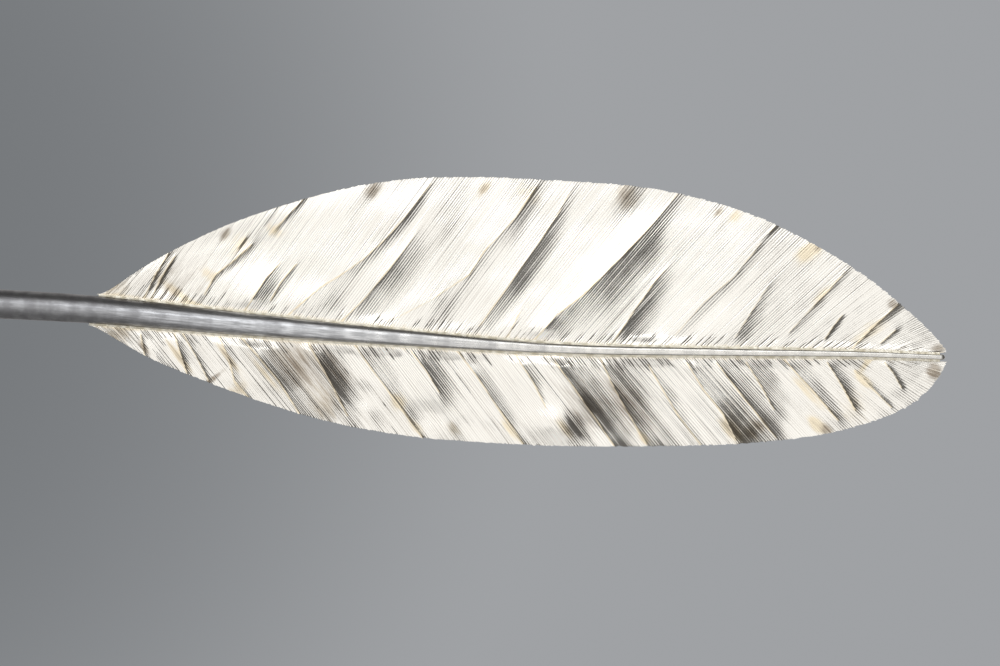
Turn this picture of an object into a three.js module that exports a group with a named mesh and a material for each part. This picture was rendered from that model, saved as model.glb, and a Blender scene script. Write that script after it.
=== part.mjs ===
// A life-size feather in silver. A tapered quill, rolled from sheet into a tube, carries on as a
// fine solid spine to the tip. Two scored sheet vanes butt against its sides and are soldered there.
//
// Millimetres, +Z up. The feather stands on edge in the XZ plane and faces -Y. X runs from the cut
// end of the stem, at the origin, to the feather's tip.

import * as THREE from 'three';

// ---------------------------------------------------------------- driving dimensions

// The quill: [x, height of its centre, outer radius].
const QUILL = [
  [0, 0, 3.5],
  [50, -1.8, 3.45],
  [69, -2.9, 3.3],
  [106, -6.4, 2.7],
  [144, -9.7, 1.85],
  [181, -12.3, 1.15],
  [219, -13.1, 0.9],
  [256, -13.7, 0.66],
  [271.6, -14.3, 0.6],
];

// The vanes: [x where a barb leaves the quill, x and z where it ends on the vane's outline].
const UPPER_BARBS = [
  [72.6, 74.4, 0.6],
  [78.5, 85.2, 7.8],
  [85.8, 96.9, 13.9],
  [101.7, 120.4, 22.6],
  [119.8, 143.8, 27.4],
  [134.7, 160.2, 28],
  [150.4, 176.6, 27.4],
  [175.6, 204.8, 25],
  [193.8, 223.5, 20.2],
  [217.9, 242.3, 11.4],
  [231.1, 251.7, 5.6],
  [245.8, 261.1, -1.8],
  [257.2, 268.1, -8.1],
  [265.5, 271.6, -12.3],
  [271, 271.9, -13.1],
];
const LOWER_BARBS = [
  [70.4, 71.9, -6.9],
  [79.2, 85.2, -14.5],
  [87.9, 96.9, -19.4],
  [105.8, 120.4, -27.6],
  [127.2, 143.8, -32.5],
  [145.9, 162.6, -34.2],
  [183.1, 200.1, -35.2],
  [210.5, 228.2, -34.2],
  [225.1, 242.3, -32.5],
  [234.9, 251.7, -30.3],
  [245.7, 261.1, -26.7],
  [252.4, 265.9, -23.7],
  [259.7, 270.4, -18.7],
  [265.8, 271.8, -15.6],
  [271, 272, -15.3],
];

const TUBE_WALL = 0.6;
const TUBE_END = 187;

const SHEET = 0.6;
// How far the sheet's outline has swept back, 40 mm out from the quill.
const CAMBER = 2;

const CAP_THICKNESS = 1;
const SPIGOT_LENGTH = 4;
const TENON_LENGTH = 6;
const TENON_RADIUS = 0.4;

// Solder: the bed between quill and sheet, and the fillets that it draws up on both faces.
const SOLDER_BED = 0.24;
const FILLET = 0.55;
const BACK_SEAM_WIDTH = 1.3;
const BACK_SEAM_HEIGHT = 0.3;

// Clearance between neighbouring solids.
const GAP = 0.08;

const SHEET_ROOT = GAP + SOLDER_BED + GAP;

// ---------------------------------------------------------------- helpers

// A smooth curve through rows of [x, value, ...]. Called with x, it returns the values there.
function curveThrough(rows) {
  const places = rows.map((row) => row[0]);
  const values = rows.flatMap((row) => row.slice(1));
  const curve = new THREE.CubicInterpolant(places, values, rows[0].length - 1);
  return (x) => Array.from(curve.evaluate(x));
}

const quillAt = curveThrough(QUILL);
const quillHeight = (x) => quillAt(x)[0];
const quillRadius = (x) => quillAt(x)[1];

// Moves each vertex of a geometry to where place(x, y, z) says it goes.
function reshape(geometry, place) {
  const points = geometry.attributes.position;
  for (let i = 0; i < points.count; i += 1) {
    points.setXYZ(i, ...place(points.getX(i), points.getY(i), points.getZ(i)));
  }
  geometry.computeVertexNormals();
  return geometry;
}

// Evenly spaced numbers, both ends included.
function steps(from, to, count) {
  return Array.from({ length: count + 1 }, (_, i) => from + ((to - from) * i) / count);
}

// Turns a profile of [x, radius] about the X axis, then lets it follow the quill's sweep.
function turnAlongQuill(profile, sides) {
  const points = profile.map(([x, radius]) => new THREE.Vector2(radius, x));
  const turned = new THREE.LatheGeometry(points, sides).rotateZ(-Math.PI / 2);
  return reshape(turned, (x, y, z) => [x, y, z + quillHeight(x)]);
}

function silver(name, geometry, color, roughness) {
  const material = new THREE.MeshStandardMaterial({ color, roughness, metalness: 1 });
  const mesh = new THREE.Mesh(geometry, material);
  mesh.name = name;
  return mesh;
}

// ---------------------------------------------------------------- the quill

// The hollow tapered tube, open at both ends.
function quillTube() {
  const stations = steps(CAP_THICKNESS + GAP, TUBE_END, 20);
  const outside = stations.map((x) => [x, quillRadius(x)]);
  const inside = stations.map((x) => [x, quillRadius(x) - TUBE_WALL]).reverse();
  return turnAlongQuill([...outside, ...inside, outside[0]], 28);
}

// The cap on the stem's cut end, with a spigot that plugs the tube.
function stemPlug() {
  const rim = quillRadius(0);
  const spigot = rim - TUBE_WALL - GAP;
  const length = CAP_THICKNESS + SPIGOT_LENGTH;
  return turnAlongQuill(
    [
      [0, 0],
      [0, rim],
      [CAP_THICKNESS, rim],
      [CAP_THICKNESS, spigot],
      [length, spigot],
      [length, 0],
    ],
    28,
  );
}

// The solid spine that carries on from the tube, with a tenon that reaches into its small end.
function tipSpine() {
  const shoulder = TUBE_END + GAP;
  const tip = QUILL.at(-1)[0];
  const body = steps(shoulder, tip - 0.4, 14).map((x) => [x, quillRadius(x)]);
  return turnAlongQuill(
    [
      [shoulder - TENON_LENGTH, 0],
      [shoulder - TENON_LENGTH, TENON_RADIUS],
      [shoulder, TENON_RADIUS],
      ...body,
      [tip - 0.1, quillRadius(tip) * 0.6],
      [tip, 0],
    ],
    14,
  );
}

// The bead of solder down the back of the tube, where the rolled sheet closes.
function backSeam() {
  const start = CAP_THICKNESS + 2 * GAP;
  const run = TUBE_END - 2 * GAP - start;
  const bead = new THREE.BoxGeometry(1, 1, 1, 20, 1, 6);
  return reshape(bead, (along, out, across) => {
    const x = start + run * (0.5 + along);
    const radius = quillRadius(x);
    const width = Math.min(BACK_SEAM_WIDTH, radius);
    const aside = width * across;
    const surface = Math.sqrt(radius * radius - aside * aside) + GAP;
    const crown = BACK_SEAM_HEIGHT * (1 - 3 * across * across);
    return [x, surface + crown * (0.5 + out), quillHeight(x) + aside];
  });
}

// ---------------------------------------------------------------- the vanes

// One half of the vane: a sheet whose columns follow the barbs out from the quill.
// side is 1 above the quill and -1 below it.
function vane(barbs, side) {
  const edgeAt = curveThrough(barbs);
  const first = barbs[0][0];
  const run = barbs.at(-1)[0] - first;
  const sheet = new THREE.BoxGeometry(1, 1, 1, 56, 1, 6);
  return reshape(sheet, (along, through, out) => {
    const turn = 0.5 + along;
    const crowdedAtEnds = turn - (0.75 * Math.sin(2 * Math.PI * turn)) / (2 * Math.PI);
    const rootX = first + run * crowdedAtEnds;
    const rootZ = quillHeight(rootX) + side * (quillRadius(rootX) + SHEET_ROOT);
    const [edgeX, edgeZ] = edgeAt(rootX);
    const reach = 0.5 + out * side;
    const x = THREE.MathUtils.lerp(rootX, edgeX, reach);
    const z = THREE.MathUtils.lerp(rootZ, edgeZ, reach);
    const sweptBack = CAMBER * ((z - rootZ) / 40) ** 2;
    return [x, through * SHEET + sweptBack, z];
  });
}

// The solder along one side of the quill: a bed under the sheet's edge and a fillet on each face.
// Its section runs from the front fillet, at level -1, through the bed to the back one, at level 1.
function solderSeam(barbs, side) {
  const from = barbs[0][0] + 0.6;
  const run = barbs.at(-1)[0] - 0.6 - from;
  const face = SHEET / 2 + GAP;
  const strip = new THREE.BoxGeometry(1, 2, 1, 34, 4, 1);
  return reshape(strip, (along, level, out) => {
    const x = from + run * (0.5 + along);
    const radius = quillRadius(x);
    const onFillet = Math.abs(level) === 1;
    const onSheet = out * side > 0;
    const foot = Math.min(face + FILLET, 0.85 * radius);
    const y = Math.sign(level) * (onFillet && !onSheet ? foot : face);
    const quillSide = Math.sqrt(radius * radius - y * y) + GAP;
    const bed = radius + GAP + SOLDER_BED;
    const toe = bed + foot - SHEET / 2;
    const sheetSide = onFillet ? toe : bed;
    return [x, y, quillHeight(x) + side * (onSheet ? sheetSide : quillSide)];
  });
}

// ---------------------------------------------------------------- the assembly

const SCORED = '#d9d6cf';
const POLISHED = '#b4b6ba';
const SOLDER = '#d8cfb4';

const feather = new THREE.Group();
feather.add(
  silver('quill_tube', quillTube(), POLISHED, 0.18),
  silver('stem_plug', stemPlug(), POLISHED, 0.25),
  silver('tip_spine', tipSpine(), POLISHED, 0.2),
  silver('back_seam', backSeam(), SOLDER, 0.45),
  silver('upper_vane', vane(UPPER_BARBS, 1), SCORED, 0.35),
  silver('lower_vane', vane(LOWER_BARBS, -1), SCORED, 0.35),
  silver('upper_solder_seam', solderSeam(UPPER_BARBS, 1), SOLDER, 0.5),
  silver('lower_solder_seam', solderSeam(LOWER_BARBS, -1), SOLDER, 0.5),
);

export default feather;
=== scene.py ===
# %% [markdown]
# # A silver feather
#
# This lesson builds a life-size feather, as a silversmith makes one: a quill rolled into a tapered
# tube, a fine spine that carries it on to the tip, and two thin sheets, scored and creased along the
# barbs and soldered to the quill's sides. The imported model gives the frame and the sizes. Everything
# that shows is made here as finer meshes that stand for its nodes.

import math

import bpy
import numpy as np
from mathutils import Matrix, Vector


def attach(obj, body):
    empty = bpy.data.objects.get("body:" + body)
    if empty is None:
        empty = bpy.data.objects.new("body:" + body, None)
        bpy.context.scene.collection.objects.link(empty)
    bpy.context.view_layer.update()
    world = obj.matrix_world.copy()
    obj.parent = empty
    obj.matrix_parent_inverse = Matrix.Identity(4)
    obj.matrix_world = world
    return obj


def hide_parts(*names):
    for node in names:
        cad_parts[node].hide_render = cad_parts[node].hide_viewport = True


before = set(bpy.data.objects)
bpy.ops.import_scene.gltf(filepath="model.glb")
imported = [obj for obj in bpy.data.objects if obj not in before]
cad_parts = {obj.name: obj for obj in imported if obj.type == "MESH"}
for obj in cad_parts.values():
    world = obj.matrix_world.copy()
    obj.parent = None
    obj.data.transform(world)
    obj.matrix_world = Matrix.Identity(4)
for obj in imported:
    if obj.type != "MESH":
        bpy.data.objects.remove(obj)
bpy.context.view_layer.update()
MM = 0.001
print("nodes in the frame:", ", ".join(sorted(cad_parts)))

# %% [markdown]
# ## The lines that the feather is drawn from
#
# A silversmith starts from a drawing. Here it is three short tables in millimetres: the quill's
# centre and radius along the feather, and for each half of the vane where a few barbs leave the quill
# and where they end. A cubic through the rows gives every barb between them, so that the outline and
# the direction of the scoring come from the same few numbers.

# %% The drawing, in millimetres
# x, height of the quill's centre, radius of the quill
QUILL = np.array(
    [
        (0, 0, 3.5), (50, -1.8, 3.45), (69, -2.9, 3.3),
        (106, -6.4, 2.7), (144, -9.7, 1.85), (181, -12.3, 1.15),
        (219, -13.1, 0.9), (256, -13.7, 0.66), (271.6, -14.3, 0.6),
    ]
)
# x where a barb leaves the quill, then x and z where it ends on the outline
UPPER_BARBS = np.array(
    [
        (72.6, 74.4, 0.6), (78.5, 85.2, 7.8), (85.8, 96.9, 13.9),
        (101.7, 120.4, 22.6), (119.8, 143.8, 27.4), (134.7, 160.2, 28),
        (150.4, 176.6, 27.4), (175.6, 204.8, 25), (193.8, 223.5, 20.2),
        (217.9, 242.3, 11.4), (231.1, 251.7, 5.6), (245.8, 261.1, -1.8),
        (257.2, 268.1, -8.1), (265.5, 271.6, -12.3), (271, 271.9, -13.1),
    ]
)
LOWER_BARBS = np.array(
    [
        (70.4, 71.9, -6.9), (79.2, 85.2, -14.5), (87.9, 96.9, -19.4),
        (105.8, 120.4, -27.6), (127.2, 143.8, -32.5), (145.9, 162.6, -34.2),
        (183.1, 200.1, -35.2), (210.5, 228.2, -34.2), (225.1, 242.3, -32.5),
        (234.9, 251.7, -30.3), (245.7, 261.1, -26.7), (252.4, 265.9, -23.7),
        (259.7, 270.4, -18.7), (265.8, 271.8, -15.6), (271, 272, -15.3),
    ]
)
TUBE_END = 187
SPINE_START = 187.02
WALL = 0.6
SHEET = 0.6
SHEET_ROOT = 0.4
CAMBER = 2


def smooth_curve(rows, x):
    """The rows' second and later columns at x, on a cubic through the rows."""
    at, values = rows[:, 0], rows[:, 1:]
    slopes = np.gradient(values, at, axis=0)
    x = np.clip(x, at[0], at[-1])
    i = np.clip(np.searchsorted(at, x, side="right") - 1, 0, len(at) - 2)
    step = (at[i + 1] - at[i])[..., None]
    t = ((x - at[i]) / (at[i + 1] - at[i]))[..., None]
    return (
        values[i] * (1 + 2 * t) * (1 - t) ** 2
        + values[i + 1] * t * t * (3 - 2 * t)
        + step * slopes[i] * t * (1 - t) ** 2
        - step * slopes[i + 1] * t * t * (1 - t)
    )


def quill_height(x):
    return smooth_curve(QUILL, x)[..., 0]


def quill_radius(x):
    return smooth_curve(QUILL, x)[..., 1]


print("quill, thick to thin:", 2 * QUILL[0, 2], "to", 2 * QUILL[-1, 2], "mm")

# %% [markdown]
# ## The camera
#
# The feather is looked at square on, from far enough away that it keeps its proportions. A long lens
# does that. The stem runs out of the picture on the left.

# %% Camera
LENS = 220
SENSOR = 36
VIEW_WIDTH = 234.5 * MM
VIEW_CENTRE = (167.25 * MM, 0, -8.6 * MM)

camera_data = bpy.data.cameras.new("camera")
camera_data.lens = LENS
camera_data.sensor_width = SENSOR
camera_data.clip_end = 50
camera = bpy.data.objects.new("camera", camera_data)
camera_distance = VIEW_WIDTH * LENS / SENSOR
camera.location = (VIEW_CENTRE[0], -camera_distance, VIEW_CENTRE[2])
camera.rotation_euler = (math.radians(90), 0, 0)
bpy.context.scene.collection.objects.link(camera)
bpy.context.scene.camera = camera
print("camera stands", round(camera_distance, 2), "m in front of the feather")

# %% [markdown]
# ## Hand work is uneven, but repeatable
#
# Scoring by hand leaves no two lines alike. The unevenness comes from value noise: random heights on a
# grid, blended smoothly between its points. Each use has its own seed, so the feather comes out the
# same every time.

# %% Value noise
NOISE_CELLS = 512


def noise(u, v, seed):
    """Smooth noise from -1 to 1, one bump for each unit of u and v."""
    heights = np.random.default_rng(seed).uniform(-1, 1, (NOISE_CELLS, NOISE_CELLS))
    u, v = np.broadcast_arrays(u, v)
    iu, iv = np.floor(u).astype(int), np.floor(v).astype(int)
    fu, fv = u - iu, v - iv
    fu, fv = fu * fu * (3 - 2 * fu), fv * fv * (3 - 2 * fv)

    def corner(du, dv):
        return heights[(iu + du) % NOISE_CELLS, (iv + dv) % NOISE_CELLS]

    near = corner(0, 0) * (1 - fu) + corner(1, 0) * fu
    far = corner(0, 1) * (1 - fu) + corner(1, 1) * fu
    return near * (1 - fv) + far * fv


def smoothstep(x):
    x = np.clip(x, 0, 1)
    return x * x * (3 - 2 * x)


# %% [markdown]
# ## Meshes from grids of points
#
# Every piece of the feather is a grid of points bent to shape: a ring of points swept along the quill,
# or the front and back of a sheet. One helper turns points, faces and values into a mesh. It shades
# the broad faces smooth and leaves narrow borders flat, so that cut edges stay crisp.

# %% From points to a piece
SHARP_ANGLE = 55


def build_mesh(name, points, faces, smooth, values=None, uv=None):
    """A mesh object from points in millimetres. values are floats on the points."""
    mesh = bpy.data.meshes.new(name)
    mesh.from_pydata((points * MM).tolist(), [], faces)
    mesh.polygons.foreach_set("use_smooth", np.asarray(smooth, bool))
    for key, value in (values or {}).items():
        attribute = mesh.attributes.new(key, "FLOAT", "POINT")
        attribute.data.foreach_set("value", value.astype(np.float32).ravel())
    if uv is not None:
        corners = np.empty(len(mesh.loops), np.int32)
        mesh.loops.foreach_get("vertex_index", corners)
        layer = mesh.uv_layers.new(name="UVMap")
        layer.data.foreach_set("uv", uv[corners].astype(np.float32).ravel())
    mesh.update()
    mesh.set_sharp_from_angle(angle=math.radians(SHARP_ANGLE))
    piece = bpy.data.objects.new(name, mesh)
    bpy.context.scene.collection.objects.link(piece)
    return piece


def grid_faces(rows, columns, first=0, closed=False):
    """Quads over a grid of points numbered row by row from first. closed joins its two sides."""
    across = columns if closed else columns - 1
    r, c = np.meshgrid(np.arange(rows - 1), np.arange(across), indexing="ij")
    here = first + r * columns + c
    right = first + r * columns + (c + 1) % columns
    return np.stack([here, right, right + columns, here + columns], -1).reshape(-1, 4)


def settle(piece, node, material):
    """The piece stands for a node, rides with it and takes its finish."""
    piece.data.materials.append(material)
    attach(piece, "root")
    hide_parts(node)
    print(piece.name, "has", len(piece.data.vertices), "points")


# %% [markdown]
# ## How the finish is made
#
# The whole feather is one metal, but it has been worked in different ways. The shared effects are node
# groups: fine grain left by abrasive cloth, and the warm stain that heat leaves on silver. Each
# material places them with its own values.

# %% Node helpers
def add_node(tree, kind, **settings):
    node = tree.nodes.new(kind)
    for key, value in settings.items():
        setattr(node, key, value)
    return node


def feed(tree, socket, value):
    """Gives a socket its value, which is a number, a colour or the output of another node."""
    if isinstance(value, bpy.types.NodeSocket):
        tree.links.new(value, socket)
    else:
        socket.default_value = (*value, 1) if socket.type == "RGBA" else value


def math_node(tree, operation, *values, clamp=False):
    """A Math node. Its values are sockets or numbers. Returns its output."""
    node = add_node(tree, "ShaderNodeMath", operation=operation, use_clamp=clamp)
    for socket, value in zip(node.inputs, values):
        feed(tree, socket, value)
    return node.outputs[0]


def mix_colour(tree, factor, first, second):
    """A Mix node for colours. Returns its output."""
    node = add_node(tree, "ShaderNodeMix", data_type="RGBA")
    sockets = (node.inputs["Factor"], node.inputs[6], node.inputs[7])
    for socket, value in zip(sockets, (factor, first, second)):
        feed(tree, socket, value)
    return node.outputs[2]


def mapped(tree, value, low, high, to_low=0.0, to_high=1.0):
    """A value carried smoothly from one range to another, and clamped. Returns the output."""
    node = add_node(tree, "ShaderNodeMapRange", interpolation_type="SMOOTHSTEP")
    tree.links.new(value, node.inputs["Value"])
    node.inputs["From Min"].default_value = low
    node.inputs["From Max"].default_value = high
    node.inputs["To Min"].default_value = to_low
    node.inputs["To Max"].default_value = to_high
    return node.outputs["Result"]


def new_group(name, inputs, outputs):
    """A shader node group. inputs and outputs are (name, socket type, default) and (name, type)."""
    group = bpy.data.node_groups.new(name, "ShaderNodeTree")
    for label, kind, default in inputs:
        socket = group.interface.new_socket(name=label, in_out="INPUT", socket_type=kind)
        if default is not None:
            socket.default_value = default
    for label, kind in outputs:
        group.interface.new_socket(name=label, in_out="OUTPUT", socket_type=kind)
    return group, group.nodes.new("NodeGroupInput"), group.nodes.new("NodeGroupOutput")


def place_group(tree, group, **inputs):
    """Places a group. Keywords are its input names, with _ for a space, and sockets or numbers."""
    node = add_node(tree, "ShaderNodeGroup", node_tree=group)
    for key, value in inputs.items():
        feed(tree, node.inputs[key.replace("_", " ")], value)
    return node


# %% [markdown]
# Abrasive cloth leaves fine scratches that all run one way. Noise that is stretched along the work
# gives them, and a slower noise says where they are dense.

# %% Group: abrasive grain
def noise_node(tree, place, scale, detail, roughness=0.5):
    """A Noise Texture node. scale is a socket or a number. Returns its output."""
    node = add_node(tree, "ShaderNodeTexNoise")
    node.inputs["Detail"].default_value = detail
    node.inputs["Roughness"].default_value = roughness
    tree.links.new(place, node.inputs["Vector"])
    feed(tree, node.inputs["Scale"], scale)
    return node.outputs["Fac"]


def make_grain_group():
    """Fine scratches that run along one direction, and a slow change in how dense they are."""
    group, given, made = new_group(
        "abrasive_grain",
        [
            ("Place", "NodeSocketVector", None),
            ("Across", "NodeSocketFloat", 400.0),
            ("Along", "NodeSocketFloat", 20.0),
            ("Patches", "NodeSocketFloat", 6.0),
        ],
        [("Scratches", "NodeSocketFloat"), ("Density", "NodeSocketFloat")],
    )
    split = add_node(group, "ShaderNodeSeparateXYZ")
    group.links.new(given.outputs["Place"], split.inputs[0])
    stretched = add_node(group, "ShaderNodeCombineXYZ")
    for axis, scale in enumerate(("Across", "Along", "Across")):
        scaled = math_node(group, "MULTIPLY", split.outputs[axis], given.outputs[scale])
        group.links.new(scaled, stretched.inputs[axis])
    scratches = noise_node(group, stretched.outputs[0], 1, 4, 0.65)
    patches = noise_node(group, given.outputs["Place"], given.outputs["Patches"], 3)
    group.links.new(scratches, made.inputs["Scratches"])
    group.links.new(mapped(group, patches, 0.35, 0.68), made.inputs["Density"])
    return group


GRAIN = make_grain_group()


# %% [markdown]
# Silver for soldering holds some copper, which the torch turns straw-coloured and then brown. Noise
# breaks the stains into clouds, and each material says how much heat a place has had. On the vanes
# some of the brown is painted shade instead of heat.

# %% Group: heat stain
def make_stain_group():
    """The straw and brown stains that soldering heat leaves, broken into uneven clouds. On the vanes the
    brown also carries painted shade.
    """
    group, given, made = new_group(
        "heat_stain",
        [
            ("Place", "NodeSocketVector", None),
            ("Scale", "NodeSocketFloat", 60.0),
            ("Straw Heat", "NodeSocketFloat", 0.0),
            ("Brown Heat", "NodeSocketFloat", 0.0),
        ],
        [("Straw", "NodeSocketFloat"), ("Brown", "NodeSocketFloat")],
    )
    clouds = noise_node(group, given.outputs["Place"], given.outputs["Scale"], 5, 0.6)
    for heat, result in (("Straw Heat", "Straw"), ("Brown Heat", "Brown")):
        total = math_node(group, "ADD", clouds, given.outputs[heat])
        group.links.new(mapped(group, total, 0.6, 1.4), made.inputs[result])
    return group


STAIN = make_stain_group()
print("node groups:", GRAIN.name, "and", STAIN.name)


# %% [markdown]
# Each finish starts as bare metal, and a bump lets its finest scratches catch the light.

# %% Start a metal
def new_metal(name):
    """A material with a fully metallic shader. Returns the material, its tree and the shader."""
    material = bpy.data.materials.new(name)
    material.use_nodes = True
    shader = material.node_tree.nodes["Principled BSDF"]
    shader.inputs["Metallic"].default_value = 1
    return material, material.node_tree, shader


def bump(tree, shader, height, strength, distance):
    node = add_node(tree, "ShaderNodeBump")
    node.inputs["Strength"].default_value = strength
    node.inputs["Distance"].default_value = distance
    tree.links.new(height, node.inputs["Height"])
    tree.links.new(node.outputs["Normal"], shader.inputs["Normal"])


# %% [markdown]
# ## Scored silver
#
# The vanes are bright where the scoring is clean, straw-coloured where the crests took the heat, and
# brown where it was hottest; where a brown patch lies on a lean it is painted shade. Dirt lies in the
# finest scratches, and the scored lines are darkened towards their bottoms as painted shade. The mesh
# carries that as three values on its points: how deep in a scored line a point is, how straw-coloured
# it is, and how brown.

# %% Scored silver
CLEAN_SILVER = (0.95, 0.92, 0.855)
STRAW = (0.93, 0.82, 0.62)
BROWN = (0.28, 0.23, 0.18)
# Dirt in the finest scratches, and painted shade in the scored lines
SCRATCH_DIRT_AND_LINE_SHADE = (0.4, 0.34, 0.27)


def scored_silver():
    material, tree, shader = new_metal("scored_silver")
    place = add_node(tree, "ShaderNodeUVMap", uv_map="UVMap").outputs[0]
    depth = add_node(tree, "ShaderNodeAttribute", attribute_name="line_depth").outputs["Fac"]
    straw = add_node(tree, "ShaderNodeAttribute", attribute_name="straw").outputs["Fac"]
    brown = add_node(tree, "ShaderNodeAttribute", attribute_name="brown").outputs["Fac"]
    grain = place_group(tree, GRAIN, Place=place, Across=2600.0, Along=60.0, Patches=90.0)
    drawn_out = add_node(tree, "ShaderNodeVectorMath", operation="MULTIPLY")
    tree.links.new(place, drawn_out.inputs[0])
    drawn_out.inputs[1].default_value = (4, 1, 1)
    clouds = drawn_out.outputs[0]
    stain = place_group(tree, STAIN, Place=clouds, Scale=160.0, Straw_Heat=straw, Brown_Heat=brown)
    colour = mix_colour(tree, stain.outputs["Straw"], CLEAN_SILVER, STRAW)
    in_scratch = mapped(tree, grain.outputs["Scratches"], 0.35, 0.6, 0.35, 1)
    # Brown: heat stain, and painted shade where a brown patch lies on a lean
    brown_stain_and_shade = math_node(tree, "MULTIPLY", stain.outputs["Brown"], in_scratch)
    colour = mix_colour(tree, brown_stain_and_shade, colour, BROWN)
    dirty = mapped(tree, grain.outputs["Scratches"], 0.5, 0.72, 0, 0.3)
    colour = mix_colour(tree, dirty, colour, SCRATCH_DIRT_AND_LINE_SHADE)
    # Painted shade: the scored lines are darkened towards their bottoms
    painted_line_shade = math_node(tree, "MULTIPLY", depth, 0.45, clamp=True)
    colour = mix_colour(tree, painted_line_shade, colour, SCRATCH_DIRT_AND_LINE_SHADE)
    tree.links.new(colour, shader.inputs["Base Color"])
    rough = mapped(tree, grain.outputs["Density"], 0, 1, 0.15, 0.22)
    tree.links.new(rough, shader.inputs["Roughness"])
    bump(tree, shader, grain.outputs["Scratches"], 0.25, 0.00006)
    return material


SCORED = scored_silver()
print(SCORED.name, "has", len(SCORED.node_tree.nodes), "nodes")

# %% [markdown]
# ## Burnished silver
#
# The quill was smoothed with a hammer and then burnished. It mirrors the light in long bands, broken a
# little by the hammer marks. The marks are real dents in the mesh. The material adds fine polishing
# scratches, a thin grey film, and painted shade that darkens the quill towards the stem.

# %% Burnished silver
QUILL_LIGHT = (0.8, 0.81, 0.83)
# The grey of the film, and of the painted shade towards the stem
QUILL_FILM_AND_SHADE = (0.3, 0.3, 0.31)


def burnished_silver():
    material, tree, shader = new_metal("burnished_silver")
    place = add_node(tree, "ShaderNodeUVMap", uv_map="UVMap").outputs[0]
    grain = place_group(tree, GRAIN, Place=place, Across=2800.0, Along=160.0, Patches=300.0)
    stain = place_group(tree, STAIN, Place=place, Scale=160.0, Straw_Heat=0.1, Brown_Heat=0.0)
    split = add_node(tree, "ShaderNodeSeparateXYZ")
    tree.links.new(place, split.inputs[0])
    # Painted shade: the quill's colour darkens towards the stem
    painted_stem_shade = mapped(tree, split.outputs[1], 0.05, 0.12, 0.72, 0.12)
    rubbed = mapped(tree, split.outputs[1], 0.16, 0.21, 0.35, 0.12)
    cloudy = math_node(tree, "MULTIPLY", grain.outputs["Density"], rubbed)
    film_and_stem_shade = math_node(tree, "ADD", cloudy, painted_stem_shade, clamp=True)
    on_spine = mapped(tree, split.outputs[1], 0.1, 0.2)
    clean = mix_colour(tree, on_spine, QUILL_LIGHT, CLEAN_SILVER)
    colour = mix_colour(tree, film_and_stem_shade, clean, QUILL_FILM_AND_SHADE)
    dirty = mapped(tree, grain.outputs["Scratches"], 0.42, 0.64, 0, 0.75)
    unrubbed = math_node(tree, "MULTIPLY_ADD", on_spine, -0.8, 1.0)
    colour = mix_colour(tree, math_node(tree, "MULTIPLY", dirty, unrubbed), colour, QUILL_FILM_AND_SHADE)
    faint_stain = math_node(tree, "MULTIPLY", stain.outputs["Straw"], 0.3)
    colour = mix_colour(tree, faint_stain, colour, BROWN)
    tree.links.new(colour, shader.inputs["Base Color"])
    worn = mapped(tree, split.outputs[1], 0.1, 0.2, 0.3, 0.2)
    rough = math_node(tree, "MULTIPLY_ADD", grain.outputs["Density"], 0.08, worn)
    tree.links.new(rough, shader.inputs["Roughness"])
    bump(tree, shader, grain.outputs["Scratches"], 0.3, 0.00004)
    return material


BURNISHED = burnished_silver()
print(BURNISHED.name, "has", len(BURNISHED.node_tree.nodes), "nodes")

# %% [markdown]
# ## Solder
#
# Solder has a little brass in it, so it is yellower than the sheet, and it freezes with a grainy skin.
# The grains are in the mesh, and the material gives them a dull, uneven cream colour.

# %% Solder
SOLDER_LIGHT = (0.95, 0.9, 0.77)
SOLDER_DARK = (0.66, 0.6, 0.46)


def solder():
    material, tree, shader = new_metal("solder")
    place = add_node(tree, "ShaderNodeTexCoord").outputs["Object"]
    grain = place_group(tree, GRAIN, Place=place, Across=1800.0, Along=1800.0, Patches=700.0)
    colour = mix_colour(tree, grain.outputs["Density"], SOLDER_LIGHT, SOLDER_DARK)
    tree.links.new(colour, shader.inputs["Base Color"])
    rough = mapped(tree, grain.outputs["Scratches"], 0.3, 0.7, 0.3, 0.5)
    tree.links.new(rough, shader.inputs["Roughness"])
    bump(tree, shader, grain.outputs["Scratches"], 0.5, 0.0001)
    return material


SOLDER = solder()
print(SOLDER.name, "has", len(SOLDER.node_tree.nodes), "nodes")

# %% [markdown]
# ## The quill
#
# The quill is swept from rings of points. A round ring mirrors the light in bands, as a polished bar
# does. Towards the tip the smith has flattened its face, so the ring goes over to a rounder kind of
# square there and the face turns to the light all at once. Hammer marks are shallow dents, a few
# hundredths of a millimetre deep, which is all that a mirror needs.

# %% The quill's rings
FLATTENED_FROM, FLATTENED_BY = 70, 195
ROUND, SQUARED = 2.0, 3.4
HAMMER_DEPTH = 0.008
PLANISHED_DEPTH = 0.01
# Length along the quill and width round it
DENT = (4.5, 0.9)
FINE_DENT = (1.6, 0.5)
PLANISHED_LENGTH = 11


def quill_ring(x, angle, radius, squareness):
    """Points of a ring round the quill at x. Angle 0 is the front, and a quarter turn is the top."""
    front, up = np.cos(angle), np.sin(angle)
    size = (np.abs(front) ** squareness + np.abs(up) ** squareness) ** (-1 / squareness)
    out = radius * size
    return np.stack([x + 0 * angle, -out * front, quill_height(x) + out * up], -1)


def squareness_at(x):
    part = (x - FLATTENED_FROM) / (FLATTENED_BY - FLATTENED_FROM)
    return ROUND + (SQUARED - ROUND) * smoothstep(part)


def stations_and_angles(stations, sides):
    return np.meshgrid(stations, np.arange(sides) * 2 * math.pi / sides, indexing="ij")


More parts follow.
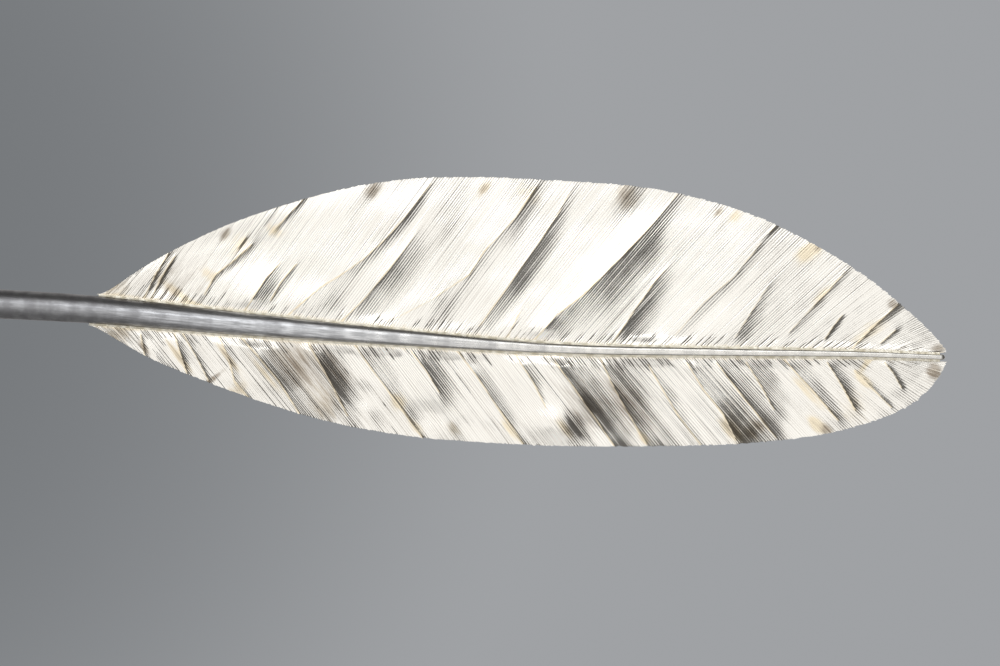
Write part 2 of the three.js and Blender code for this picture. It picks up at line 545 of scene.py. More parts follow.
def quill_surface(stations, sides, shrink=0.0, hammered=True):
    """Rings of points at the stations, as an array of rings."""
    x, angle = stations_and_angles(stations, sides)
    radius = quill_radius(x) - shrink
    if hammered:
        around = np.minimum(angle, 2 * math.pi - angle) * radius
        dents = noise(x / DENT[0], around / DENT[1], 11)
        dents += 0.4 * noise(x / FINE_DENT[0], around / FINE_DENT[1], 12)
        planished = noise(x / PLANISHED_LENGTH, angle * 0 + 3.5, 13)
        radius = radius + HAMMER_DEPTH * dents * np.minimum(1, radius / 2)
        radius = radius + PLANISHED_DEPTH * planished
    return quill_ring(x, angle, radius, squareness_at(x))


def sweep_uv(points, sides):
    """Texture places on a sweep: round the quill from its front, and along it."""
    angle = np.arange(len(points)) % sides * 2 * math.pi / sides
    around = np.minimum(angle, 2 * math.pi - angle) * quill_radius(points[:, 0])
    return np.stack([around + 0.01 * (angle > math.pi), points[:, 0]], -1) * MM


# %% The hollow tube
TUBE_START = 1.08
TUBE_STATIONS = 420
TUBE_SIDES = 64
BORE_STATIONS = 40


def quill_tube():
    outer = quill_surface(np.linspace(TUBE_START, TUBE_END, TUBE_STATIONS), TUBE_SIDES)
    bore = np.linspace(TUBE_END, TUBE_START, BORE_STATIONS)
    inner = quill_surface(bore, TUBE_SIDES, WALL, hammered=False)
    rings = np.concatenate([outer, inner, outer[:1]])
    points = rings[:-1].reshape(-1, 3)
    total = TUBE_STATIONS + BORE_STATIONS
    faces = grid_faces(total + 1, TUBE_SIDES, closed=True) % len(points)
    cut = np.zeros(len(faces), bool)
    cut[(TUBE_STATIONS - 1) * TUBE_SIDES : TUBE_STATIONS * TUBE_SIDES] = True
    cut[-TUBE_SIDES:] = True
    uv = sweep_uv(points, TUBE_SIDES)
    return build_mesh("quill_tube_burnished", points, faces[:, ::-1].tolist(), ~cut, uv=uv)


settle(quill_tube(), "quill_tube", BURNISHED)

# %% [markdown]
# The spine is the same sweep, but solid, so its ends close to a point. The cap on the stem's cut end,
# and the spigot that holds it in the tube, are turned to one short profile.

# %% The tip spine and the stem plug
SPINE_SIDES = 40


def closed_sweep(name, x, radius, sides, ring_of):
    """A solid swept through rings at x, closed to a point at both ends."""
    rings = ring_of(x, radius, sides)
    ends = np.array([rings[0].mean(0), rings[-1].mean(0)])
    points = np.concatenate([rings.reshape(-1, 3), ends])
    faces = grid_faces(len(x), sides, closed=True)[:, ::-1].tolist()
    near, far = len(points) - 2, len(points) - 1
    last = (len(x) - 1) * sides
    for i in range(sides):
        j = (i + 1) % sides
        faces.append([near, j, i])
        faces.append([far, last + i, last + j])
    return build_mesh(name, points, faces, [True] * len(faces), uv=sweep_uv(points, sides))


def spine_rings(x, radius, sides):
    x, angle = stations_and_angles(x, sides)
    dents = noise(x / 1.6, np.minimum(angle, 2 * math.pi - angle), 21)
    radius = radius[:, None] * (1 + 0.02 * dents)
    return quill_ring(x, angle, radius, squareness_at(x))


def tip_spine():
    tip = QUILL[-1, 0]
    shoulder = SPINE_START
    tenon = [(shoulder - 6, 0.25), (shoulder - 5.8, 0.4), (shoulder - 0.01, 0.4)]
    body_x = np.append([shoulder, shoulder + 0.01], np.linspace(shoulder + 0.03, tip - 0.6, 260))
    body = [(x, quill_radius(np.array(x))) for x in body_x]
    end = [(tip - 0.3, 0.52), (tip - 0.1, 0.36), (tip, 0.12)]
    profile = np.array(tenon + body + end, float)
    return closed_sweep("tip_spine_burnished", profile[:, 0], profile[:, 1], SPINE_SIDES, spine_rings)


settle(tip_spine(), "tip_spine", BURNISHED)


def plug_rings(x, radius, sides):
    x, angle = stations_and_angles(x, sides)
    return quill_ring(x, angle, radius[:, None] + 0 * x, ROUND)


def stem_plug():
    rim, bore = 3.5, 3.5 - WALL - 0.08
    profile = np.array(
        [
            (0, 0.9),
            (0, 3.1),
            (0.03, 3.3),
            (0.12, 3.42),
            (0.3, rim),
            (0.9, rim),
            (1.0, rim - 0.06),
            (1.0, bore + 0.02),
            (1.05, bore),
            (4.8, bore),
            (5, bore - 0.3),
            (5, 0.5),
        ]
    )
    return closed_sweep("stem_plug_burnished", profile[:, 0], profile[:, 1], 96, plug_rings)


settle(stem_plug(), "stem_plug", BURNISHED)

# %% [markdown]
# ## The creases
#
# Along each vane the sheet is pinched into creases that follow the barbs. From the stem's side it rises
# slowly to a crisp ridge, then falls quickly on the tip's side, and that short fall is what looks dark.
# A crease is a few points from the quill outwards, each with the slope and the width of that fall.

# %% Creases, in millimetres
# For each crease: x, z, and the slope and width of its flank on the tip's side, from the quill outwards
UPPER_CREASES = [
    [(83.5, -1, 0.4, 1), (86.5, 5, 0.4, 1), (89.5, 10, 0.35, 1)],
    [(85.5, -0.5, 0.3, 1), (88, 4.5, 0.4, 1), (91, 9.5, 0.25, 1)],
    [(98, 0.5, 0.1, 1), (100.5, 5, 0.2, 1), (104.5, 8, 0.25, 1), (109, 12, 0.3, 1.2)],
    [(106, 11.5, 0.2, 1), (107.5, 13.5, 0.3, 1)],
    [(114.5, 15.5, 0.2, 1), (117.5, 19, 0.2, 1), (121, 22.5, 0.3, 1)],
    [(107, -4, 0.2, 6), (110, 0.5, 0.25, 6), (112.5, 4.5, 0.2, 5), (117, 9, 0, 3)],
    [(113.5, -1, 0.1, 1), (116, 3.5, 0.2, 2.5), (119.5, 7.5, 0.1, 1)],
    [
        (118, -4, 0.15, 6),
        (125, 2, 0.2, 7),
        (130, 5, 0.12, 3),
        (135, 8.5, 0.12, 2.5),
        (140, 13, 0.15, 2.5),
        (145, 18.5, 0.15, 2.5),
        (151, 26.5, 0.1, 1.5),
    ],
    [(130, -6, 0.15, 6), (136, 0, 0.2, 7), (141, 6, 0.22, 8), (145.5, 12, 0.15, 7), (149, 17, 0, 4)],
    [
        (141, -6, 0.08, 3),
        (150, -1.5, 0.08, 3),
        (160, 5, 0.12, 4),
        (163.5, 10.5, 0.12, 5),
        (171, 18.5, 0.1, 4),
        (176, 26, 0.08, 2),
    ],
    [
        (162.5, -7, 0.18, 4),
        (170, 3.5, 0.2, 5),
        (177, 13.5, 0.18, 5),
        (181, 19.5, 0.1, 3),
        (184.5, 26, 0.08, 2),
    ],
    [(169, -9.5, 0.12, 3), (171.5, -4.5, 0.12, 3), (174, 0.5, 0, 2)],
    [
        (175.5, -10, 0.35, 13),
        (180.5, -4.5, 0.3, 16),
        (187, 0.5, 0.24, 17),
        (193.5, 7, 0.22, 15),
        (198, 11.5, 0.18, 10),
        (204, 18, 0.12, 4),
        (209, 24, 0.1, 2),
    ],
    [(194, -10.5, 0.35, 6), (199, -3, 0.28, 7), (204, 4, 0.22, 6), (207.5, 8, 0, 3)],
    [(208, -9.5, 0.07, 2), (215, -1.5, 0.09, 3), (222, 4.5, 0.08, 2.5), (228.5, 12.5, 0.1, 1.5)],
    [(230.5, 15, 0.2, 1), (232.5, 17, 0.3, 1)],
    [(222.5, -9.5, 0.09, 3), (226, -4, 0.1, 3), (230.5, 3, 0.07, 2)],
    [(235, -8.5, 0.08, 1.5), (242, -1, 0.09, 2), (248.5, 6, 0.1, 1.5)],
    [(243.5, -10, 0.12, 1), (245.5, -7, 0.2, 1), (247.5, -4.5, 0.15, 1)],
    [(250, -12, 0.1, 1), (255.5, -6.5, 0.15, 1.5), (260.5, -2, 0.2, 2)],
    [(256.5, -11, 0.15, 1), (260, -8, 0.2, 1)],
]
LOWER_CREASES = [
    [(83, -9, 0.4, 1), (84, -14, 0.4, 1)],
    [(91, -9, 0.3, 1.5), (92.5, -14, 0.3, 2), (94, -18.5, 0.3, 1.5)],
    [(93, -9, 0.3, 1), (96.5, -15, 0.3, 1.2), (99, -20, 0.35, 1.2)],
    [(101.5, -9.5, 0.3, 3.5), (104, -16, 0.35, 3), (105, -20, 0.3, 2), (108.5, -24, 0.2, 1.5)],
    [(106.5, -9.5, 0.3, 7), (110.5, -14, 0.4, 12), (115.5, -20, 0.4, 10), (120.5, -28, 0.3, 6)],
    [(122, -10.5, 0.5, 7), (125.5, -16.5, 0.6, 8), (128.5, -22, 0.5, 7), (131.5, -28, 0.25, 6)],
    [(133, -11, 0.4, 8), (137.5, -17.5, 0.35, 8), (143.5, -25.5, 0.2, 3), (149, -33, 0.2, 2)],
    [(146.5, -13, 0.35, 5.5), (150, -17.5, 0.4, 6), (153, -22.5, 0.3, 5)],
    [(157.5, -13, 0.15, 3), (162, -19, 0.2, 4), (167, -26.5, 0.2, 3), (173, -35, 0.2, 2)],
    [(171, -14, 0.15, 2), (175, -20, 0.2, 3), (178, -26, 0.15, 1.5)],
    [(180, -15, 0.35, 9), (184, -20.5, 0.4, 9), (189.5, -28.5, 0.45, 8.5), (194, -35, 0.4, 7)],
    [(191, -15, 0.4, 10), (193.5, -20.5, 0.4, 12), (196.5, -26, 0.4, 11), (201.5, -34.5, 0.35, 10)],
    [(202, -16, 0.2, 5), (205.5, -22, 0.3, 5), (209, -28, 0.25, 4), (214.5, -35, 0.2, 2)],
    [(211, -15.5, 0.2, 5), (215, -22, 0.3, 6), (219.5, -27.5, 0.35, 9), (222.5, -33.5, 0.35, 10)],
    [(218, -15.5, 0.25, 5), (223, -22, 0.3, 5.5), (229.5, -30, 0.3, 5), (232, -33, 0.25, 3)],
    [(225, -15.5, 0.25, 4), (228.5, -21, 0.3, 6), (231.5, -26.5, 0.2, 5)],
    [(234, -15, 0.15, 4), (240, -21.5, 0.15, 4), (246.5, -29, 0.2, 2)],
    [(244, -15.5, 0.15, 2), (247.5, -21, 0.2, 3), (250.5, -26.5, 0.15, 2)],
    [(250.5, -17.5, 0.1, 1), (254.5, -21.5, 0.2, 1.5), (259, -26, 0.2, 1)],
    [(257.5, -15.5, 0.2, 1), (259.5, -18, 0.3, 1), (261.5, -21.5, 0.2, 1)],
]
# How much the hammer sharpens each crease's crest, and how narrow that is
CREST = 0.05
CREST_WIDTH = 0.4
# A higher power keeps a fall even for longer before it fades out
FALL_ROUNDING = 2.3


def crease_slopes(x, z, creases):
    """The slope towards the tip that the creases give the sheet, and how near a point is to a crest."""
    slope, crest = np.zeros_like(x), np.zeros_like(x)
    for corners in creases:
        nearest, tip_side = np.full_like(x, 1e9), np.zeros_like(x, bool)
        fall, width = np.zeros_like(x), np.ones_like(x)
        for (ax, az, a_fall, a_width), (bx, bz, b_fall, b_width) in zip(corners, corners[1:]):
            length = math.dist((ax, az), (bx, bz))
            ux, uz = (bx - ax) / length, (bz - az) / length
            t = np.clip(((x - ax) * ux + (z - az) * uz) / length, 0, 1)
            off_x, off_z = x - ax - t * length * ux, z - az - t * length * uz
            away = np.hypot(off_x, off_z)
            closer = away < nearest
            nearest = np.where(closer, away, nearest)
            tip_side = np.where(closer, off_x >= 0, tip_side)
            fall = np.where(closer, a_fall + (b_fall - a_fall) * t, fall)
            width = np.where(closer, a_width + (b_width - a_width) * t, width)
        fades = 1 - np.clip(nearest / width, 0, 1) ** FALL_ROUNDING
        slope = np.maximum(slope, np.where(tip_side, fall * fades, 0))
        crest = np.maximum(crest, np.clip(1 - nearest / CREST_WIDTH, 0, 1) * np.minimum(1, 8 * fall))
    return slope, crest


# %% [markdown]
# Between the creases the sheet leans here and there, and the torch has left stains. Brown patches that
# lie on a lean darken it as painted shade. Both are given as patches. A patch follows the barbs: it has
# a middle, a half length along them and a half width across.

# %% Leans, stains and painted shade, in millimetres
# x and z of the middle, half length, half width, slope down towards the tip
UPPER_LEANS = [
    (137.5, 24.5, 3, 1.5, 0.15),
    (198, 22.5, 4, 2.5, 0.15),
    (127, -1.5, 5, 4, 0.3),
    (154.5, -2, 5, 4, 0.25),
]
LOWER_LEANS = [
    (129.5, -25, 5, 3.5, 0.35),
    (138, -28, 3, 2.5, 0.3),
    (146.5, -28, 3.5, 2, 0.3),
    (154, -20, 4, 2.5, 0.35),
    (156.5, -31, 2.5, 1.5, 0.25),
    (184.8, -30.5, 4.5, 3.6, 0.45),
    (138, -17, 4, 3.5, 0.3),
]
# x and z of the middle, half length, half width, how straw-coloured, how brown. Brown on a lean is
# painted shade
UPPER_STAINS_AND_SHADE = [
    (77, 2.5, 3.5, 3.5, 0.5, 0.4),
    (90, 4, 9, 9, 0.1, 0.4),
    (92, 0.5, 1, 6, 0.8, 0.1),
    (102.8, 14.8, 2, 1.1, 0.4, 0.9),
    (99, 5.2, 1.4, 2.4, 0.7, 0.1),
    (106, 12, 4, 2.4, 0.6, 0.1),
    (114, 15.6, 1.6, 2.4, 0.7, 0.1),
    (137.6, 24.6, 2.6, 1.8, 0.5, 0.9),
    (163.6, 25.6, 2.4, 1.6, 0.7, 0.6),
    (174, 24, 3, 4, 0.5, 0.1),
    (196.8, 23.4, 3.4, 3, 0.5, 0.8),
    (218.6, 19.8, 1.8, 1, 0.6, 0.8),
    (222.4, 18.8, 2, 1, 0.9, 0.2),
    (239.4, 10.4, 3.2, 2, 1.2, 0.2),
    (242, 11, 1.2, 1, 0.5, 0.6),
    (259.4, -1.8, 1.4, 1.3, 0.3, 1),
    (254, -8, 5, 1.6, 0.7, 0.2),
    (243, 0.8, 3, 1, 0.7, 0.1),
    (270.2, -12.4, 2, 1.5, 0.4, 0.9),
]
LOWER_STAINS_AND_SHADE = [
    (78, -8.6, 3, 4, 0.5, 0.6),
    (83.8, -12.2, 2.2, 0.7, 0.5, 1),
    (92.2, -14.4, 4.5, 0.7, 1.2, 0.6),
    (99.6, -19.6, 0.6, 3.4, 0.3, 1),
    (105.6, -22, 2, 3, 0.7, 0.5),
    (103.2, -14, 5, 0.7, 0.9, 0.6),
    (112, -18, 6, 0.8, 0.7, 0.1),
    (119, -16.5, 8, 4.5, 0.4, 0.8),
    (128, -17, 8, 3, 0.2, 0.7),
    (187, -24, 9, 4, 0.1, 0.6),
    (197.5, -25, 9, 4.5, 0.1, 0.7),
    (222, -27, 6, 4, 0.3, 0.3),
    (126.5, -26, 4, 3.5, 0.4, 0.5),
    (143.4, -24.8, 2.2, 1.5, 1.2, 0.1),
    (147.4, -30.6, 2.6, 1.2, 0.8, 0.4),
    (156.4, -31, 2.4, 1.4, 0.6, 0.4),
    (169.4, -31, 3.4, 1, 0.9, 0.1),
    (182.6, -31, 3.4, 1.2, 0.8, 0.2),
    # Painted shade: this brown patch darkens the lean at the same place
    (185.3, -30.5, 4.5, 3.5, 0, 0.45),
    (201, -33.2, 2, 1, 1, 0.1),
    (221.4, -31.4, 3, 1.4, 1.1, 0.4),
    (227, -31.6, 2, 4, 0.5, 0.5),
    (241.4, -30, 2.4, 1.4, 1.3, 0.2),
    (244, -31.2, 1.6, 1.3, 0.4, 1),
    (239, -22, 5, 1, 0.8, 0.1),
    (252.6, -19.6, 2.4, 1, 1.2, 0),
    (250, -25.5, 4.5, 5, 0.4, 0.2),
    (253.5, -15.2, 0.8, 3, 1.1, 0),
    (269, -17.6, 1.8, 2, 0.5, 1.3),
]


def patch(x, z, barb_x, barb_z, row):
    """Each point's place in a patch, along the barbs and across, in half lengths and half widths."""
    dx, dz = x - row[0], z - row[1]
    along = (dx * barb_x + dz * barb_z) / row[2]
    across = (dx * np.abs(barb_z) - dz * barb_x * np.sign(barb_z)) / row[3]
    return along, across


def lean_slopes(x, z, barb_x, barb_z, leans):
    slope = np.zeros_like(x)
    for row in leans:
        along, across = patch(x, z, barb_x, barb_z, row)
        slope = np.maximum(slope, row[4] * np.exp(-(along**2) - across**2))
    return slope


def stain_and_shade_strengths(x, z, barb_x, barb_z, stains_and_shade):
    straw, brown = np.zeros_like(x), np.zeros_like(x)
    for row in stains_and_shade:
        along, across = patch(x, z, barb_x, barb_z, row)
        there = np.exp(-(along**2) - across**2)
        straw += row[4] * there
        brown += row[5] * there
    return straw, brown


# %% [markdown]
# ## The vanes
#
# Each vane is a sheet whose columns run along the barbs, three for each scored line: the bottom of the
# line and its two lips. So the scoring is cut into the mesh and catches the light by itself. The lines
# differ in depth, and the narrow lands between them tip a little one way or the other, which gives the
# streaks. Where the lines reach the outline they nick it. The back has the same creases, pushed through
# from the front, and needs fewer rows.

# %% From slopes to heights
BARB_PITCH = 0.62
# Where a barb's columns lie across it: the bottom of its line, then the two lips of its land
BARB_COLUMNS = np.array([0, 0.24, 0.76])
LEVELLED_OVER = 24
SMOOTHED_PART = 16
# How hard the creases are driven, next to the slopes in the tables
DRIVEN = 1.3


def moving_average(values, half):
    """Each row's average over the columns up to half away on either side."""
    padded = np.pad(values, ((0, 0), (half + 1, half)), "edge")
    total = np.cumsum(padded, axis=1)
    return (total[:, 2 * half + 1 :] - total[:, : -2 * half - 1]) / (2 * half + 1)


def heights_from_slopes(slope, x, z, barb_x, barb_z):
    """Heights from slopes added up from column to column, levelled and then smoothed along the barbs."""
    step_x, step_z = np.diff(x, axis=1), np.diff(z, axis=1)
    across = step_x * np.abs(barb_z[:, 1:]) - step_z * barb_x[:, 1:] * np.sign(barb_z[:, 1:])
    drop = -0.5 * (slope[:, 1:] + slope[:, :-1]) * across
    height = np.concatenate([np.zeros((len(x), 1)), np.cumsum(drop, axis=1)], 1)
    half = int(LEVELLED_OVER / BARB_PITCH * len(BARB_COLUMNS) / 2)
    height = height - moving_average(moving_average(height, half), half)
    along = len(x) // SMOOTHED_PART
    return moving_average(moving_average(height.T, along), along).T


# %% [markdown]
# The columns are paced out half along the quill and half along the outline, so that neither end of the
# barbs gets crowded. Each barb is a little wider or narrower than the next, as with a hand-held scriber.

# %% The columns of a vane
FINE_STEPS = 4000
UNEVEN_WIDTH = 0.25


def barb_columns(barbs, seed):
    """Where the columns leave the quill, and the scored line that each belongs to.

    Also 1 at the bottom of a line, and -1 and 1 at the two lips of a land.
    """
    fine = np.linspace(barbs[0, 0], barbs[-1, 0], FINE_STEPS)
    edge = smooth_curve(barbs, fine)
    at_edge = np.concatenate([[0], np.cumsum(np.hypot(*np.diff(edge, axis=0).T))])
    pace = (at_edge + fine - fine[0]) / 2
    count = int(pace[-1] / BARB_PITCH)
    random = np.random.default_rng(seed)
    widths = random.uniform(1 - UNEVEN_WIDTH, 1 + UNEVEN_WIDTH, count)
    lines = np.concatenate([[0], np.cumsum(widths)]) / widths.sum() * pace[-1]
    starts, gaps = lines[:-1], np.diff(lines)
    paces = (starts[:, None] + gaps[:, None] * BARB_COLUMNS).ravel()
    paces = np.append(paces, pace[-1])
    line = np.append(np.repeat(np.arange(count), len(BARB_COLUMNS)), count)
    bottom = np.append(np.tile([1.0, 0, 0], count), 1.0)
    land = np.append(np.tile([0, -1.0, 1.0], count), 0)
    return np.interp(paces, pace, fine), line, bottom, land


# %% [markdown]
# A vane is then a front and a back face, each a grid of rows and columns, joined along the quill, along
# the outline and at both ends. A few lines are cut harder than the rest, and a third of them start as a
# deep nick at the quill, where the scriber was set down.

# %% Build a vane
FRONT_ROWS = 61
BACK_ROWS = 16
LINE_DEPTH = 0.042
LAND_TILT = 0.009
LAND_STEP = 0.007
HARD_LINES, HARDER = 0.06, 0.5
NICKED_LINES, NICK_DEPTH = 0.35, 1.3
# How ragged the outline is, and how far each line cuts into it
RAGGED = 0.08
EDGE_NICK = 0.12
# Height and width of the sheet's slow buckles and of its small dimples
BUCKLE, BUCKLE_WIDTH = 0.2, 10
DIMPLE, DIMPLE_WIDTH = 0.03, 3.2


def vane(name, barbs, side, creases, leans, stains_and_shade, scoring, seed):
    """One half of the vane. side is 1 above the quill and -1 below it.

    scoring is how hard the lines are pressed near the stem and near the tip.
    """
    root_x, line, bottom, land = barb_columns(barbs, seed)
    root_z = quill_height(root_x) + side * (quill_radius(root_x) + SHEET_ROOT)
    edge = smooth_curve(barbs, root_x)
    reach_x, reach_z = edge[:, 0] - root_x, edge[:, 1] - root_z
    length = np.hypot(reach_x, reach_z)
    random = np.random.default_rng(seed + 1)
    lines = line.max() + 1
    pressed = np.linspace(*scoring, lines)[line]
    hard = HARDER * (random.random(lines) < HARD_LINES)[line]
    nicked = NICK_DEPTH * (random.random(lines) < NICKED_LINES)[line]
    reach_of_nick = random.uniform(1.2, 3, lines)[line]

    # The outline: each barb ends a little long or short, and each scored line nicks it.
    longer = random.normal(0, RAGGED, lines)[line] - EDGE_NICK * bottom
    longer *= smoothstep(length / 6)

    def surface(rows, depth):
        """One face's points, rows from the quill to the outline, and the values for its finish."""
        v = np.linspace(0, 1, rows)[:, None]
        out = v * length
        stretch = 1 + longer / np.maximum(length, 1) * smoothstep((v - 0.9) / 0.1)
        x = root_x + reach_x * v * stretch
        z = root_z + reach_z * v * stretch
        barb_x, barb_z = reach_x / length + 0 * v, reach_z / length + 0 * v
        slope, crest = crease_slopes(x, z, creases)
        slope = np.maximum(slope, lean_slopes(x, z, barb_x, barb_z, leans))
        height = heights_from_slopes(DRIVEN * slope, x, z, barb_x, barb_z) + CREST * crest
        height += BUCKLE * noise(x / BUCKLE_WIDTH, z / BUCKLE_WIDTH, seed + 2)
        height += DIMPLE * noise(x / DIMPLE_WIDTH, z / DIMPLE_WIDTH, seed + 3)
        uneven = 0.85 + 0.3 * noise(line * 0.37, out / 9, seed + 4)
        uneven += 0.3 * noise(line * 5.3, out / 20, seed + 5)
        at_root = nicked * smoothstep(2 - out / reach_of_nick)
        uneven = np.clip(pressed * (uneven + hard) + at_root, 0.1, 1.8)
        tip_over = LAND_TILT * noise(line * 3.7, out / 14, seed + 6)
        step = LAND_STEP * noise(line * 2.3 + 9, out / 16, seed + 7)
        cut = depth * uneven * bottom
        scored = tip_over * land + step * (1 - bottom) - cut
        height = height * smoothstep(out / 3.5) + scored * smoothstep(out / 0.4)
        swept_back = CAMBER * ((z - root_z) / 40) ** 2
        # The brown carries the stains, and painted shade where a patch lies on a lean
        straw, brown = stain_and_shade_strengths(x, z, barb_x, barb_z, stains_and_shade)
        values = {
            "line_depth": uneven * bottom,
            "straw": 0.9 * crest + straw + 0.5 * smoothstep(1 - out / 1.5),
            "brown": brown,
        }
        return np.stack([x, swept_back - height, z], -1), out + 0 * x, values

    front, out_front, front_values = surface(FRONT_ROWS, LINE_DEPTH)
    back, out_back, back_values = surface(BACK_ROWS, -LINE_DEPTH / 2)
    front[..., 1] -= SHEET / 2
    back[..., 1] += SHEET / 2
    columns = len(root_x)
    points = np.concatenate([front.reshape(-1, 3), back.reshape(-1, 3)])
    values = {}
    for key, on_front in front_values.items():
        values[key] = np.concatenate([on_front.ravel(), back_values[key].ravel()])
    across = np.concatenate([np.tile(root_x, FRONT_ROWS), np.tile(root_x, BACK_ROWS)])
    uv = np.stack([across, np.concatenate([out_front.ravel(), out_back.ravel()])], -1) * MM

    first_back = FRONT_ROWS * columns
    front_faces = grid_faces(FRONT_ROWS, columns)
    back_faces = grid_faces(BACK_ROWS, columns, first_back)[:, ::-1]
    c = np.arange(columns - 1)
    front_edge, back_edge = (FRONT_ROWS - 1) * columns, first_back + (BACK_ROWS - 1) * columns
    root_faces = np.stack([c + 1, c, first_back + c, first_back + c + 1], -1)
    edge_faces = np.stack([front_edge + c, front_edge + c + 1, back_edge + c + 1, back_edge + c], -1)
    faces = np.concatenate([front_faces, back_faces, root_faces, edge_faces])
    if side < 0:
        faces = faces[:, ::-1]
    faces = faces.tolist()
    smooth = [True] * (len(front_faces) + len(back_faces))
    smooth += [False] * (len(root_faces) + len(edge_faces))

    # The two ends: each step of the back meets several steps of the front.
    ratio = (FRONT_ROWS - 1) // (BACK_ROWS - 1)
    for column, turned in ((0, side > 0), (columns - 1, side < 0)):
        for k in range(BACK_ROWS - 1):
            face = [(k * ratio + i) * columns + column for i in range(ratio + 1)]
            face += [first_back + (k + j) * columns + column for j in (1, 0)]
            faces.append(face if turned else face[::-1])
            smooth.append(False)
    return build_mesh(name, points, faces, smooth, values, uv)


upper_work = (UPPER_CREASES, UPPER_LEANS, UPPER_STAINS_AND_SHADE, (0.9, 0.45))
lower_work = (LOWER_CREASES, LOWER_LEANS, LOWER_STAINS_AND_SHADE, (1, 0.85))
upper = vane("upper_vane_scored", UPPER_BARBS, 1, *upper_work, seed=100)
lower = vane("lower_vane_scored", LOWER_BARBS, -1, *lower_work, seed=200)
settle(upper, "upper_vane", SCORED)
settle(lower, "lower_vane", SCORED)

# %% [markdown]
# ## The solder
#
# Solder runs into the corner between quill and sheet and freezes as a small fillet on each face, joined
# through a thin bed. Its section is the same all along, only smaller where the quill is thin. Noise
# gives it the lumps and the broken edge of a seam that was run by hand.

# %% Solder seams
FILLET = 0.24
BED = 0.24
GAP = 0.08
SEAM_STATIONS = 900


def run_of_solder(name, rings, turned):
    """A solid through rings of points, with flat ends. turned faces it the other way round."""
    stations, sides = rings.shape[:2]
    points = rings.reshape(-1, 3)
    faces = grid_faces(stations, sides, closed=True)
    near = list(range(sides))[::-1]
    far = [len(points) - sides + i for i in range(sides)]
    if turned:
        faces, near, far = faces[:, ::-1], near[::-1], far[::-1]
    smooth = [True] * len(faces) + [False] * 2
    return build_mesh(name, points, faces.tolist() + [near, far], smooth)


def solder_seam(name, barbs, side, seed):
    x = np.linspace(barbs[0, 0] + 0.6, barbs[-1, 0] - 0.6, SEAM_STATIONS)
    radius, height = quill_radius(x), quill_height(x)
    face = SHEET / 2 + 0.03
    section = []
    for sign in (-1, 1):
        lump = 0.8 + 0.2 * noise(x / 0.8, sign * 3.0, seed)
        lump += 0.15 * noise(x / 0.35, sign * 7.0, seed + 1)
        foot = np.minimum(face + FILLET * lump, 0.75 * radius)
        on_quill = np.sqrt(radius**2 - foot**2) + 0.02
        toe = radius + SHEET_ROOT + 0.12 * (1 + 0.5 * noise(x / 0.5, sign * 5.0, seed + 2))
        belly = 0.35 * foot + 0.65 * face
        middle = 0.5 * (on_quill + toe)
        inner = radius + GAP + BED
        corners = [
            (on_quill, sign * foot),
            (middle, sign * belly),
            (toe, sign * face),
            (inner, sign * face),
        ]
        section += corners if sign < 0 else corners[::-1]
    section += [(radius + GAP, 0.3 + 0 * x), (radius + GAP, -0.3 + 0 * x)]
    rings = np.stack([np.stack([x, y + 0 * x, height + side * out], -1) for out, y in section], 1)
    return run_of_solder(name, rings, side < 0)


settle(solder_seam("upper_solder_run", UPPER_BARBS, 1, 300), "upper_solder_seam", SOLDER)
settle(solder_seam("lower_solder_run", LOWER_BARBS, -1, 320), "lower_solder_seam", SOLDER)


# %% [markdown]
# The tube is closed down its back by a low bead of the same solder, which lies on the round of the tube
# and gets narrower with it.

# %% The seam down the back of the tube
BEAD_WIDTH = 1.3
BEAD_HEIGHT = 0.3


def back_seam():
    x = np.linspace(TUBE_START + 0.1, TUBE_END - 0.2, 700)[:, None]
    across = np.linspace(-0.5, 0.5, 9)[None, :]
    radius = quill_radius(x)
    uneven = 1 + 0.15 * noise(x / 1.5, 0.5, 340)
    aside = np.minimum(BEAD_WIDTH, radius) * across * uneven
    surface = np.sqrt(radius**2 - aside**2)
    crown = (BEAD_HEIGHT + 0.06 * noise(x / 0.6, across * 6, 341)) * (1 - 3 * across**2)
    z = quill_height(x) + aside
    top = np.stack([x + 0 * z, surface + GAP + crown, z], -1)
    under = np.stack([x + 0 * z, surface - 0.05 + 0 * z, z], -1)[:, ::-1]
    return run_of_solder("back_solder_run", np.concatenate([top, under], 1), True)


settle(back_seam(), "back_seam", SOLDER)

# %% [markdown]
# ## The stage
#
# Polished silver shows whatever stands round it, so the lighting is half of its look. A wide, even
# panel in front fills everything that faces it, and it ends a little to the right of the middle. What
# leans towards the tip looks past that edge into the dark, and so the creases and the scored lines
# show. A strip above and a panel below broaden the light on the round quill. Two softer panels, on the
# left and behind, do the same for whoever walks round the feather. A pale floor lies well below.

# %% Floor, backdrop and lights
FLOOR_DROP = 0.4
FLOOR_RADIUS = 0.9
FLOOR_GLOW = 0.26
# The backdrop is darkest behind the stem. The room is darkest in front, on the right
DARK_CORNER = (-0.14, 1, 0.02)
DARK_SIDE = (0.6, -0.8, 0)
BACKDROP_PALE = (0.35, 0.36, 0.375)
BACKDROP_DARK = (0.175, 0.185, 0.195)


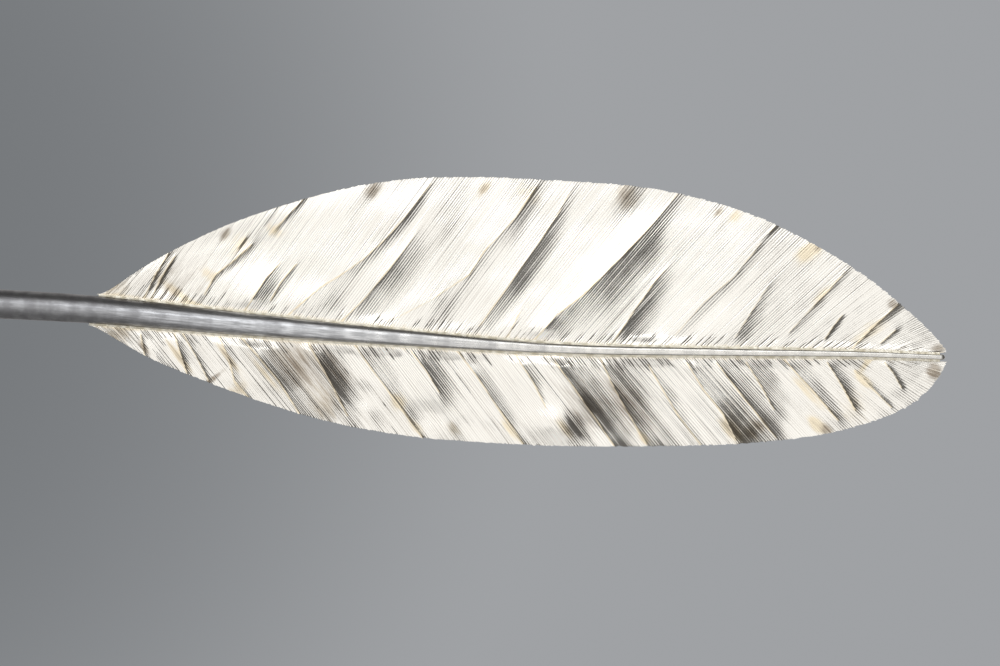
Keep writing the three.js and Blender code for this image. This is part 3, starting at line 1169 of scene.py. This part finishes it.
def make_floor():
    """A pale disc. It glows a little for the camera alone, so the silver does not mirror the glow."""
    bpy.ops.mesh.primitive_circle_add(
        vertices=128, radius=FLOOR_RADIUS, fill_type="NGON", location=(VIEW_CENTRE[0], 0, -FLOOR_DROP)
    )
    floor = bpy.context.object
    floor.name = "floor"
    material = bpy.data.materials.new("pale_floor")
    material.use_nodes = True
    tree = material.node_tree
    shader = tree.nodes["Principled BSDF"]
    shader.inputs["Base Color"].default_value = (0.7, 0.7, 0.7, 1)
    shader.inputs["Roughness"].default_value = 0.9
    shader.inputs["Emission Color"].default_value = (0.94, 0.98, 1, 1)
    path = add_node(tree, "ShaderNodeLightPath")
    glow = math_node(tree, "MULTIPLY", path.outputs["Is Camera Ray"], FLOOR_GLOW)
    tree.links.new(glow, shader.inputs["Emission Strength"])
    floor.data.materials.append(material)


def make_backdrop():
    """A plain grey all round. The camera sees it paler than the silver does."""
    world = bpy.data.worlds.new("studio")
    bpy.context.scene.world = world
    world.use_nodes = True
    tree = world.node_tree
    shine = tree.nodes["Background"]
    seen = add_node(tree, "ShaderNodeBackground")
    direction = add_node(tree, "ShaderNodeTexCoord").outputs["Generated"]

    def towards(aim):
        """How nearly a direction points along aim, from -1 to 1."""
        node = add_node(tree, "ShaderNodeVectorMath", operation="DOT_PRODUCT")
        tree.links.new(direction, node.inputs[0])
        node.inputs[1].default_value = Vector(aim).normalized()
        return node.outputs["Value"]

    shade = mapped(tree, towards(DARK_CORNER), 0.988, 1)
    backdrop = mix_colour(tree, shade, BACKDROP_PALE, BACKDROP_DARK)
    tree.links.new(backdrop, seen.inputs["Color"])
    shine.inputs["Color"].default_value = (1, 0.97, 0.94, 1)
    strength = mapped(tree, towards(DARK_SIDE), -0.6, -0.1, 0.4, 0.12)
    tree.links.new(strength, shine.inputs["Strength"])
    mix = add_node(tree, "ShaderNodeMixShader")
    path = add_node(tree, "ShaderNodeLightPath")
    tree.links.new(path.outputs["Is Camera Ray"], mix.inputs[0])
    tree.links.new(shine.outputs[0], mix.inputs[1])
    tree.links.new(seen.outputs[0], mix.inputs[2])
    tree.links.new(mix.outputs[0], tree.nodes["World Output"].inputs[0])


def soft_panel(name, azimuth, elevation, distance, width, height, power, colour=(1, 1, 1)):
    """A rectangular light aimed at the feather. Azimuth 0 is in front, and positive is to the right."""
    data = bpy.data.lights.new(name, "AREA")
    data.shape = "RECTANGLE"
    data.size, data.size_y = width, height
    data.energy = power
    data.color = colour
    panel = bpy.data.objects.new(name, data)
    a, e = math.radians(azimuth), math.radians(elevation)
    away = np.array([math.sin(a) * math.cos(e), -math.cos(a) * math.cos(e), math.sin(e)])
    panel.location = np.array(VIEW_CENTRE) + away * distance
    panel.rotation_euler = (math.radians(90) - e, 0, a)
    panel.visible_camera = False
    bpy.context.scene.collection.objects.link(panel)
    print(name, "gives", power, "W")


make_floor()
make_backdrop()
soft_panel("wide_panel", -13, 10, 2.6, 2.3, 4.9, 33.3)
soft_panel("strip_panel", 0, 22, 2.4, 2, 0.4, 3.4, (0.94, 0.97, 1))
soft_panel("low_panel", 5, -44, 0.45, 0.34, 0.3, 0.19)
soft_panel("left_panel", -52, -8, 2.4, 1.5, 2.4, 7)
soft_panel("back_panel", 142, -2, 2.2, 2.2, 2.4, 8.5)
bpy.context.scene.view_settings.view_transform = "Standard"
print("the stage is set")
